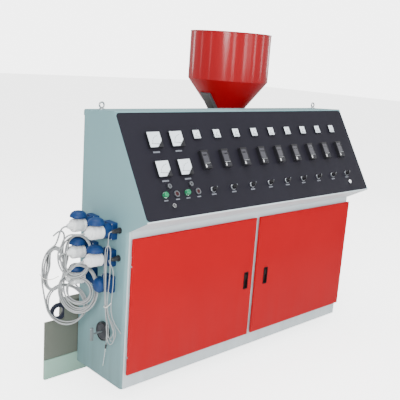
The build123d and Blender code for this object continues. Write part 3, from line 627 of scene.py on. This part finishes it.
def box_shape(size, corner=0, edge=0, base=(0, 0, 0)):
    """Block on its base, with rounded upright corners and a softened top edge, in millimetres."""
    width, tall, height = (side / 1000 for side in size)
    foot = Vector(base) / 1000
    bpy.ops.object.select_all(action="DESELECT")
    bpy.ops.mesh.primitive_cube_add(
        size=1, location=foot + Vector((0, 0, height / 2)), scale=(width, tall, height)
    )
    bpy.ops.object.transform_apply(location=True, rotation=False, scale=True)
    piece = bpy.context.object
    near = 1e-6

    def upright(start, end):
        return abs(start.z - end.z) > height / 2

    def on_top(start, end):
        return min(start.z, end.z) > foot.z + height - near

    if corner:
        round_edges(piece, upright, corner, segments=4)
    if edge:
        round_edges(piece, on_top, edge, segments=2)
    return piece


handle_mark = box_shape((3, 3, 0.6), corner=1, edge=0.2, base=(0, 26, 78))
settle(handle_mark, "handle_mark", [switch_place], plug_white, "main_switch_handle")

# Cabinet: folded mild-steel sheet, sprayed in a grey-green enamel that has a faint orange-peel
# texture. Its front frame and console underside are sprayed paler.


def enamel(name, colour, shade, gloss, peel_mm=5, grime_and_shade=0.35, coat=0.0, specular=0.5):
    """Sprayed enamel on sheet steel: orange peel, broad uneven tone, and grime with painted shade
    near the floor.
    """
    patch_mm, streak_mm, streak_stretch = 260, 1000 / 22, 0.12
    grime_and_shade_height = 0.6
    material, tree, shader, place = blank_finish(name)
    patches = mottling(tree, place, patch_mm, 4.0)
    tint = blended(tree, patches, linear(colour), linear(shade))
    height = add(tree, "ShaderNodeSeparateXYZ", {"Vector": place}).outputs["Z"]
    # Darker towards the floor: partly grime, partly painted shade, which is strongest on the
    # grey-green body.
    near_floor = ranged(tree, height, grime_and_shade, 0.0, end=grime_and_shade_height)
    runs = add(tree, "ShaderNodeMapping", {"Vector": place, "Scale": (1.0, 1.0, streak_stretch)})
    streaks = mottling(tree, runs.outputs["Vector"], streak_mm, 5.0)
    dirt_and_shade = add(tree, "ShaderNodeMath", {0: near_floor, 1: streaks}, operation="MULTIPLY")
    soiled_and_shaded = blended(tree, dirt_and_shade.outputs["Value"], tint, linear("#5B6563"))
    tree.links.new(soiled_and_shaded, shader.inputs["Base Color"])
    sheen = ranged(tree, streaks, gloss - 0.05, gloss + 0.1)
    tree.links.new(sheen, shader.inputs["Roughness"])
    peel = mottling(tree, place, peel_mm, 1.0)
    roughen(tree, shader, peel, strength=0.08, depth_mm=0.4)
    shader.inputs["Coat Weight"].default_value = coat
    shader.inputs["Coat Roughness"].default_value = 0.14
    shader.inputs["Specular IOR Level"].default_value = specular
    return material


# The grey-green body's strong darkening towards the floor is painted shade as well as grime.
body_enamel = enamel("grey_green_enamel", "#769BA0", "#6E9399", 0.5, grime_and_shade=0.9)
frame_enamel = enamel("pale_frame_enamel", "#D2DFE4", "#C7D5DB", 0.4)
# The end walls' folded front edges, beside the doors, were sprayed with the frame.
edge_face, edge_top = -0.3915, 0.84
body_tree = body_enamel.node_tree
body_colour = body_tree.nodes["Principled BSDF"].inputs["Base Color"]
spot = add(
    body_tree,
    "ShaderNodeSeparateXYZ",
    {"Vector": body_tree.nodes["Texture Coordinate"].outputs["Object"]},
)
at_front, under_console = (
    add(body_tree, "ShaderNodeMath", {0: spot.outputs[axis], 1: limit}, operation="LESS_THAN")
    for axis, limit in (("Y", edge_face), ("Z", edge_top))
)
front_edge = add(
    body_tree,
    "ShaderNodeMath",
    {0: at_front.outputs["Value"], 1: under_console.outputs["Value"]},
    operation="MULTIPLY",
)
wall_colour = body_colour.links[0].from_socket
edged = blended(body_tree, front_edge.outputs["Value"], wall_colour, linear("#BFCCD0"))
body_tree.links.new(edged, body_colour)
dress(
    body_enamel, "end_wall_left", "end_wall_right", "back_wall", "floor_plate", "top_cover",
    "console_bearers",
)
dress(frame_enamel, "front_frame", "console_underside")

# Doors: two pressed trays in red enamel, hung on pins at their outer edges. Each has a recessed
# pull, black with a red cast of painted shade from the red recess, and behind it a latch tongue
# that catches the frame.
door_enamel = enamel("signal_red_enamel", "#B00414", "#A60312", 0.45, grime_and_shade=0.2, specular=0.05)
dress(door_enamel, "door_left", "door_right", "hinge_brackets")
# The pulls' near-black has a red cast: painted shade of the recess in the red door.
pull_black_and_shade = moulded_plastic("pull_abs", "#14080A", "#1C0C0F", 0.55, specular=0.2)
dress(pull_black_and_shade, "pull_left", "pull_right")
dress(bright_screw, "hinge_pins_left", "hinge_pins_right")
latch_plane, latch_height = -0.4135, 0.465
for door, latch_along in (("door_left", 0.805), ("door_right", 0.966)):
    latch_place = (
        Matrix.Translation((latch_along, latch_plane, latch_height))
        @ Matrix.Rotation(pi / 2, 4, "X")
    )
    tongue = box_shape((18, 30, 5), corner=2, edge=1, base=(0, 20, -6))
    settle(tongue, door + "_latch_tongue", [latch_place], pull_black_and_shade, door)

# Console: a sloping panel of bluish-black satin enamel, held over the bearers by two locks. On the
# console's own axes, X runs along the cabinet, Y up the slope and Z out of it.
console_run, console_rise = 277, 460
console_front, console_foot = -0.5285, 0.914
console_slope = atan2(console_run, console_rise)
slope_length = hypot(console_run, console_rise)
console = Matrix(
    (
        (1, 0, 0, 0),
        (0, sin(console_slope), -cos(console_slope), console_front),
        (0, cos(console_slope), sin(console_slope), console_foot),
        (0, 0, 0, 1),
    )
)
panel_enamel = enamel("blue_black_enamel", "#17161F", "#1E1D27", 0.5, grime_and_shade=0.0, specular=0.2)
dress(panel_enamel, "control_panel")
# The panel's sheet has its four corners rounded. The solid's stored normals are dropped first,
# because they would shade the rounded sheet unevenly.
panel_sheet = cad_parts["control_panel"].copy()
panel_sheet.data = panel_sheet.data.copy()
bpy.context.scene.collection.objects.link(panel_sheet)
take_up(panel_sheet)
bpy.ops.mesh.customdata_custom_splitnormals_clear()
bpy.ops.object.mode_set(mode="EDIT")
bpy.ops.mesh.select_all(action="SELECT")
bpy.ops.mesh.remove_doubles(threshold=0.00001)
bpy.ops.mesh.dissolve_limited(angle_limit=radians(0.5), delimit=set())
bpy.ops.object.mode_set(mode="OBJECT")
to_console = console.inverted()
sheet_corners = [to_console @ corner.co for corner in panel_sheet.data.vertices]
sheet_sides = [pick(corner.x for corner in sheet_corners) for pick in (min, max)]
sheet_rises = [pick(corner.y for corner in sheet_corners) for pick in (min, max)]


def at_sheet_corner(start, end):
    """Whether an edge runs through the sheet at one of its four corners."""
    near = 0.0001
    start, end = to_console @ start, to_console @ end
    at_side = min(abs(start.x - side) for side in sheet_sides) < near
    at_rise = min(abs(start.y - rise) for rise in sheet_rises) < near
    return at_side and at_rise and (start - end).xy.length < near


round_edges(panel_sheet, at_sheet_corner, 21, segments=6)
settle(
    panel_sheet, "control_panel_sheet", [Matrix.Identity(4)], panel_enamel, smooth=1
)
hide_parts("control_panel")


def on_console(along, up):
    """Place on the console, in millimetres."""
    return console @ Matrix.Translation((along / 1000, up / 1000, 0))


# Meters: four large square moving-coil meters and nine small ones, in black cases. Each white dial
# is clipped at the needle's corner and printed in grey, and its needle is pressed and blackened.
case_black = moulded_plastic("meter_case_abs", "#121216", "#1E1E24", 0.4)
dial_white = moulded_plastic("printed_dial_card", "#F0F9FF", "#E6F2FC", 0.55)
print_black = moulded_plastic("dial_print", "#1B1C1F", "#26272B", 0.6)
print_grey = moulded_plastic("scale_print", "#8E98A0", "#7F8890", 0.6)
dress(case_black, "meter_cases")
dress(dial_white, "meter_dials")
large_columns = (171, 306)
large_rows = [0.453 * slope_length, 0.721 * slope_length]
zone_columns = [446 + 139.4 * zone for zone in range(9)]
zone_row = 0.758 * slope_length


def degrees_of(width, radius):
    """Half the angle, in degrees, that a line of this width takes at this radius."""
    return width / radius * 90 / pi


def dial_marks(pivot, radius, first, last, divisions, line, long_mark, short_mark, out):
    """Raised print: a scale arc about the pivot with its divisions, in millimetres and degrees."""
    print_thickness, arc_pieces, long_every = 0.15, 24, 5
    shape = bpy.data.meshes.new("dial_marks")
    drawn = bmesh.new()

    def patch(corners):
        low, high = (
            [drawn.verts.new((x / 1000, y / 1000, level / 1000)) for x, y in corners]
            for level in (out, out + print_thickness)
        )
        drawn.faces.new(high)
        drawn.faces.new(list(reversed(low)))
        for side in range(4):
            after = (side + 1) % 4
            drawn.faces.new((low[side], low[after], high[after], high[side]))

    def at(distance, degrees_round):
        angle = radians(degrees_round)
        return pivot[0] + distance * cos(angle), pivot[1] + distance * sin(angle)

    for step in range(arc_pieces):
        start, end = (first + (last - first) * mark / arc_pieces for mark in (step, step + 1))
        patch([
            at(radius, start), at(radius, end), at(radius + line, end), at(radius + line, start),
        ])
    for division in range(divisions + 1):
        angle = first + (last - first) * division / divisions
        is_long = division % long_every == 0
        reach, width = (long_mark, line * 1.3) if is_long else (short_mark, line * 0.8)
        half = degrees_of(width, radius)
        patch([
            at(radius, angle - half), at(radius + reach, angle - half),
            at(radius + reach, angle + half), at(radius, angle + half),
        ])
    bmesh.ops.recalc_face_normals(drawn, faces=drawn.faces)
    drawn.to_mesh(shape)
    drawn.free()
    piece = bpy.data.objects.new("dial_marks", shape)
    bpy.context.scene.collection.objects.link(piece)
    return piece


large_pivot, zone_pivot = (24, -24), (13, -13)
large_places = [on_console(column, row) for column in large_columns for row in large_rows]
zone_places = [on_console(column, zone_row) for column in zone_columns]
large_scale = dial_marks(
    large_pivot, radius=42, first=96, last=174, divisions=20, line=0.9, long_mark=5.5,
    short_mark=3, out=14,
)
settle(large_scale, "large_meter_scales", large_places, print_grey)
zone_scale = dial_marks(
    zone_pivot, radius=19, first=94, last=176, divisions=10, line=1.1, long_mark=5,
    short_mark=3, out=8,
)
settle(zone_scale, "zone_meter_scales", zone_places, print_grey)


def needle(length, width, pivot, angle, out):
    """Pressed needle that tapers to its tip, in millimetres and degrees."""
    thickness, tip_share = 0.4, 0.3
    piece = box_shape((length, width, thickness), base=(length / 2, 0, 0))
    for corner in piece.data.vertices:
        if corner.co.x > length / 2000:
            corner.co.y *= tip_share
    piece.data.transform(
        Matrix.Translation((pivot[0] / 1000, pivot[1] / 1000, out / 1000))
        @ Matrix.Rotation(radians(angle), 4, "Z")
    )
    return piece


large_needle = needle(52, 2.2, large_pivot, angle=173, out=14.3)
settle(large_needle, "large_meter_needles", large_places, print_black)
# The small needles are drawn wider than the large ones, so that each also covers its shadow on the
# dial: painted shadow.
zone_needle = needle(27, 2.6, zone_pivot, angle=168, out=8.3)
settle(zone_needle, "zone_meter_needles", zone_places, print_black)
band_grey = moulded_plastic("band_grey", "#9EA6AC", "#8D959B", 0.5)
zone_band = box_shape((38, 1.6, 0.3), base=(0, -17, 8))
settle(zone_band, "zone_meter_bands", zone_places, band_grey)
adjuster_profile = [(0, 15.4), (2.6, 15.4), (3.2, 15), (3.2, 14.8), (0, 14.8)]
adjuster_across, adjuster_sunk = 0.03, 0.0002
adjuster_places = [
    place @ Matrix.Translation((adjuster_across, -adjuster_across, -adjuster_sunk))
    for place in large_places
]
adjuster = turned(adjuster_profile, steps=16)
settle(adjuster, "zero_adjusters", adjuster_places, connector_black)

# Zone controllers: nine tall black cases. A smoked window shows the temperature when it is on;
# below it are a pale line, a small bright lever and three keys.
dress(case_black, "controller_cases")
window_grey = moulded_plastic("smoked_window", "#3D3D43", "#48484F", 0.3)
dress(window_grey, "controller_displays")
controller_row = 0.503 * slope_length
controller_face, window_face = 22, 21
controller_places = [on_console(column, controller_row) for column in zone_columns]
print_pale = moulded_plastic("controller_print", "#C9CDD2", "#B4B8BD", 0.5)
controller_line = box_shape((38, 1.4, 0.4), base=(0, -21, controller_face))
settle(controller_line, "controller_lines", controller_places, print_pale)
lever = box_shape((5, 15, 3), corner=1, edge=0.8, base=(-15, -35.5, controller_face))
settle(lever, "controller_levers", controller_places, plug_white)
key_rubber = moulded_plastic("key_rubber", "#2B2C32", "#35363D", 0.6)
for number, along in enumerate((-3, 6, 15)):
    key = box_shape((7, 7, 1.2), corner=1.5, edge=0.5, base=(along, -36, controller_face))
    settle(key, f"controller_keys_{number + 1}", controller_places, key_rubber)
unlit_grey = moulded_plastic("display_lcd", "#26262B", "#2E2E34", 0.25)
digits_field = box_shape((30, 9, 0.3), corner=1, base=(1, 22, window_face))
settle(digits_field, "display_digits_field", controller_places, unlit_grey)

# Zone switches: nine rotary switches with chromed rings and black knobs that point up and right,
# each with a pale mark at its tip and a plain plate below.
chrome = bright_metal("chromed_brass", "#E6E8EA", "#C9CCD0", 0.12)
ring_metal = bright_metal("handled_ring_chrome", "#9EA2A8", "#7C8086", 0.28)
dress(ring_metal, "switch_rings")
dress(chrome, "panel_locks")
knob_black = moulded_plastic("knob_phenolic", "#0F0F12", "#1B1B20", 0.3)
dress(knob_black, "switch_knobs")
switch_row = 0.22 * slope_length
knob_turn = Matrix.Rotation(pi / 4, 4, "Z")
knob_places = [on_console(column, switch_row) @ knob_turn for column in zone_columns]
knob_mark = box_shape((5, 2.4, 0.6), corner=0.8, edge=0.2, base=(7.5, 0, 30))
settle(knob_mark, "knob_marks", knob_places, print_grey)
label_laminate = moulded_plastic("engraved_label_laminate", "#7E828C", "#6A6E78", 0.5)
# Plates: the width and height, and where each is stuck on the console, in millimetres.
label_plates = [
    (30, 7, [(column, 96) for column in zone_columns]),
    (40, 8, [(170, 329), (306, 329), (172, 187), (310, 187)]),
    (24, 6, [(column, 94) for column in (142, 212, 277, 346)]),
]
for number, (width, tall, spots) in enumerate(label_plates):
    plate = box_shape((width, tall, 0.8), corner=1.5, edge=0.2)
    plate_places = [on_console(*spot) for spot in spots]
    settle(plate, f"label_plates_{number + 1}", plate_places, label_laminate)

# Start and stop buttons: green domed caps in bright bezels, dark red stop buttons in pale rings,
# and a chromed key switch above each pair. The panel's two locks sit lower, near its ends.
button_row, key_switch_row, lock_row = 0.222 * slope_length, 0.294 * slope_length, 64
barrel_face = 12
green_plastic = moulded_plastic("button_green_abs", "#0E8A5A", "#0A7249", 0.25)
start_profile = [
    (0, 20), (5, 19.9), (9, 19.3), (11.4, 18.2), (12.6, 16.6), (13, 14), (13, 6), (15, 6), (15, 5),
    (15, 0), (0, 0),
]
start_places = [on_console(column, button_row) for column in (142, 277)]
start_cap = turned(start_profile, steps=32)
settle(start_cap, "start_button_caps", start_places, green_plastic)
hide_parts("start_buttons")
bezel_profile = [(13.2, 0), (15, 0), (15, 5), (14.4, 6.4), (13.6, 6.6), (13.2, 6.2)]
bezel = turned(bezel_profile, closed=True, steps=32)
settle(bezel, "start_button_bezels", start_places, chrome)
red_plastic = moulded_plastic("button_red_abs", "#3E0A0E", "#2C070A", 0.3)
dress(red_plastic, "stop_buttons")
key_switch_places = [on_console(column, key_switch_row) for column in (178, 312)]
key_barrel = box_shape((8, 8, 0.4), corner=3.6, base=(0, 0, barrel_face))
settle(key_barrel, "key_barrels", key_switch_places, connector_black)
lock_places = [on_console(column, lock_row) for column in (172, 1560)]
lock_slot = box_shape((4, 13, 0.4), corner=0.5, base=(0, 0, barrel_face))
settle(lock_slot, "lock_slots", lock_places, connector_black)

# Hopper: rolled and welded sheet steel in glossy red lacquer, with a beaded rim and a sight glass
# in a bolted steel frame on the cone's left.
hopper_lacquer = enamel(
    "gloss_red_lacquer", "#9A0310", "#90020E", 0.45, peel_mm=18, grime_and_shade=0.0, coat=0.6, specular=0.1
)
cone_lacquer = enamel(
    "satin_red_lacquer", "#A00410", "#96030D", 0.4, peel_mm=18, grime_and_shade=0.0, specular=0.15
)
hopper_axis = (1.135, 0.1665)
hopper_place = Matrix.Translation((*hopper_axis, 0))
drum_radius, drum_bore, drum_foot = 241, 239, 1511
barrel_profile = [
    (drum_radius, drum_foot), (drum_radius, 1782.5), (241.8, 1782.8), (243, 1783.4),
    (243.8, 1784.6), (243.9, 1785.4), (243, 1787), (241.6, 1787.9), (240.2, 1787.9), (239, 1787),
    (238.6, 1785.6), (239, 1784), (drum_bore, drum_foot),
]
drum = turned(barrel_profile, closed=True, steps=128)
settle(drum, "hopper_drum", [hopper_place], hopper_lacquer, smooth=50)
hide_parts("hopper_barrel")
outlet_radius = 60
cone_half_angle = radians(37.5)
outlet_height = drum_foot - (drum_radius - outlet_radius) / tan(cone_half_angle)
cone_wall = (drum_radius - drum_bore) / cos(cone_half_angle)
cone_profile = [
    (outlet_radius, outlet_height), (240.4, 1510.3), (drum_radius, drum_foot),
    (drum_bore, drum_foot), (238.4, 1510.3), (outlet_radius - cone_wall, outlet_height),
]
funnel = turned(cone_profile, closed=True, steps=128)
settle(funnel, "hopper_funnel", [hopper_place], cone_lacquer, smooth=50)
flange_side, flange_thickness = 190, 12
flange = box_shape(
    (flange_side, flange_side, flange_thickness), corner=6, edge=1,
    base=(0, 0, outlet_height - flange_thickness),
)
settle(flange, "hopper_flange", [hopper_place], cone_lacquer)
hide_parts("hopper_cone")
bolt_profile = [(0, 7), (6, 7), (7.2, 6.2), (7.4, 5.4), (7.4, 0), (0, 0)]
bolt_across = 0.078
bolt_places = [
    hopper_place
    @ Matrix.Translation((side * bolt_across, depth * bolt_across, outlet_height / 1000))
    for side in (-1, 1)
    for depth in (-1, 1)
]
settle(turned(bolt_profile, steps=6), "flange_bolts", bolt_places, bright_screw, smooth=20)
frame_grey = enamel("sight_frame_steel", "#4C4A4E", "#424044", 0.45, grime_and_shade=0.0)
dress(frame_grey, "sight_frame")
dark_glass = moulded_plastic("dark_sight_glass", "#1A1416", "#221A1C", 0.3)
dress(dark_glass, "sight_glass")

# Base: welded box beams behind a side plate and a plinth, in olive-grey enamel, with a closed
# housing on them and a navy lifting lug at the left. The side plate is darker than the plinth below
# it.
base_enamel = enamel("olive_grey_enamel", "#64695F", "#5C6056", 0.5, grime_and_shade=0.2)
plinth_enamel = enamel("pale_green_enamel", "#96B9AB", "#8CAFA0", 0.5, grime_and_shade=0.15)
lug_enamel = enamel("navy_enamel", "#16182A", "#1E2033", 0.35, grime_and_shade=0.0)
dress(base_enamel, "base_frame", "base_side_plate", "base_pad", "machine_housing")
dress(plinth_enamel, "base_plinth")
dress(lug_enamel, "base_lug")
dress(bright_screw, "lifting_eyes", "feed_block")

# Floor: a plain pale studio floor at the plinth's foot. It glows a little to the camera, so that
# it stays pale where the lights don't reach.
bpy.ops.object.select_all(action="DESELECT")
bpy.ops.mesh.primitive_plane_add(size=60, location=(0, 0, cad_box[0][2]))
floor = bpy.context.object
floor.name = "floor"
floor_finish = bpy.data.materials.new("studio_floor")
floor_finish.use_nodes = True
floor_shader = floor_finish.node_tree.nodes["Principled BSDF"]
floor_shader.inputs["Base Color"].default_value = linear("#FAFAF8")
floor_shader.inputs["Roughness"].default_value = 0.9
floor_shader.inputs["Emission Color"].default_value = linear("#FFFFFF")
lit = add(floor_finish.node_tree, "ShaderNodeLightPath").outputs["Is Camera Ray"]
glow = ranged(floor_finish.node_tree, lit, 0.1, 3.2)
floor_finish.node_tree.links.new(glow, floor_shader.inputs["Emission Strength"])
floor.data.materials.append(floor_finish)

# Lights: a soft surround that the camera sees as white, a soft key light in front of the doors, a
# broad light from above and a fill on the left.
world = bpy.data.worlds.new("studio")
bpy.context.scene.world = world
world.use_nodes = True
surround = world.node_tree
seen = add(surround, "ShaderNodeLightPath").outputs["Is Camera Ray"]
strength = ranged(surround, seen, 0.5, 5.0)
background = surround.nodes["Background"]
background.inputs["Color"].default_value = (1, 1, 1, 1)
surround.links.new(strength, background.inputs["Strength"])


def soft_light(name, place, aim, size, power):
    """Square soft light that faces a point."""
    lamp = bpy.data.objects.new(name, bpy.data.lights.new(name, "AREA"))
    bpy.context.scene.collection.objects.link(lamp)
    lamp.data.size = size
    lamp.data.energy = power
    lamp.location = place
    lamp.rotation_mode = "QUATERNION"
    lamp.rotation_quaternion = (Vector(aim) - Vector(place)).to_track_quat("-Z", "Y")


soft_light("key_light", (1.6, -5.2, 2.6), aim=(0.9, -0.4, 0.7), size=2.4, power=50)
soft_light("top_light", (0.4, -0.2, 5.6), aim=(0.9, -0.1, 1.0), size=3.6, power=315)
soft_light("left_fill", (-3.6, -2.9, 2.7), aim=(0.0, -0.2, 0.7), size=1.8, power=190)

# Strip lights: tall narrow lamps that stand round the studio and show as streaks in the hopper's
# lacquer. Each is given by its turn from the camera's side, its width and its brightness.
strips = (
    (-123, 0.6, 8), (-86, 0.35, 3.5), (-55, 0.2, 5), (-11, 0.65, 5.5), (11, 0.6, 7.5),
    (43, 0.65, 6.5), (73, 0.45, 8), (103, 0.6, 5.5), (144, 0.6, 8),
)
strip_distance, strip_rise, strip_height = 5, 1.1, 2.6
hopper_middle = Vector((*hopper_axis, 1.65))
towards_camera = atan2(camera_place[1] - hopper_middle.y, camera_place[0] - hopper_middle.x)
for number, (turn, width, brightness) in enumerate(strips):
    name = f"strip_light_{number + 1}"
    angle = towards_camera + radians(turn)
    outward = Vector((cos(angle) * strip_distance, sin(angle) * strip_distance, strip_rise))
    place = hopper_middle + outward
    soft_light(name, place, aim=(*hopper_axis, place.z), size=width, power=0)
    lamp = bpy.data.lights[name]
    lamp.shape = "RECTANGLE"
    lamp.size_y = strip_height
    lamp.energy = brightness * pi * width * strip_height
